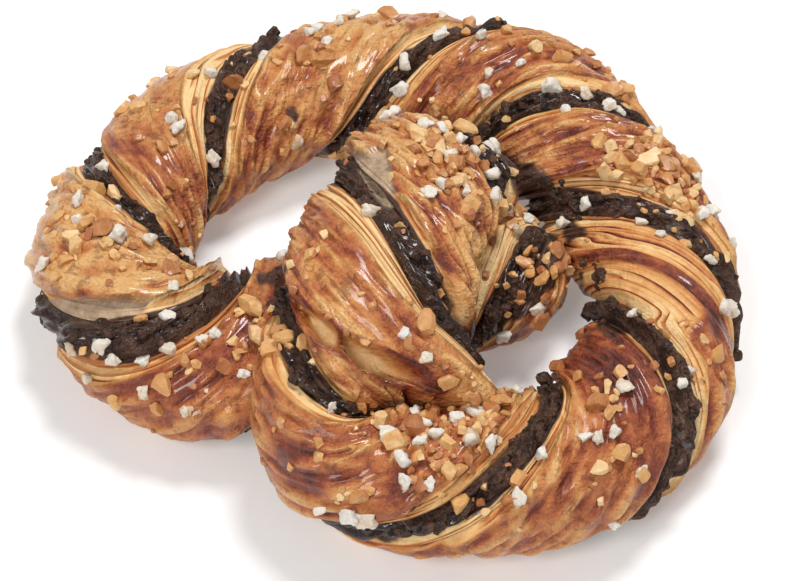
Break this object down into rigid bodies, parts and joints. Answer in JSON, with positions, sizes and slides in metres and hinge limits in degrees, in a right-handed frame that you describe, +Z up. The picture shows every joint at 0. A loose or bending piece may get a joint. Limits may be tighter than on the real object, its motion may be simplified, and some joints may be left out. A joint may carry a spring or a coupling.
{
  "type": "puff pastry pretzel",
  "caption": "Baked puff pastry pretzel: a twisted rope of layered pastry strips with a chocolate filling between them, its ends crossed, topped with chopped nuts and pearl sugar.",
  "frame": {"origin": "on the surface that the pretzel lies on, under the middle of its bounding box", "axes": "+Z up from that surface, +X to the right and -Y towards the side of the front strand, where the pretzel's free ends point up and to the right"},
  "size_m": [0.1477, 0.1426, 0.0456],
  "materials": {
    "pastry_crust": "baked laminated dough, golden to red-brown, with a glossy glaze on the crowns and pale layered edges",
    "chocolate": "dark chocolate and nut paste, crumbly where it dried and glossy where it melted",
    "chopped_nuts": "roasted chopped nuts, satin, with paler broken faces",
    "pearl_sugar": "rough off-white lumps of pressed sugar"
  },
  "bodies": {
    "root": {"pastry_strip_a": "pastry_crust", "pastry_strip_b": "pastry_crust", "chocolate_filling": "chocolate"}
  },
  "joints": []
}
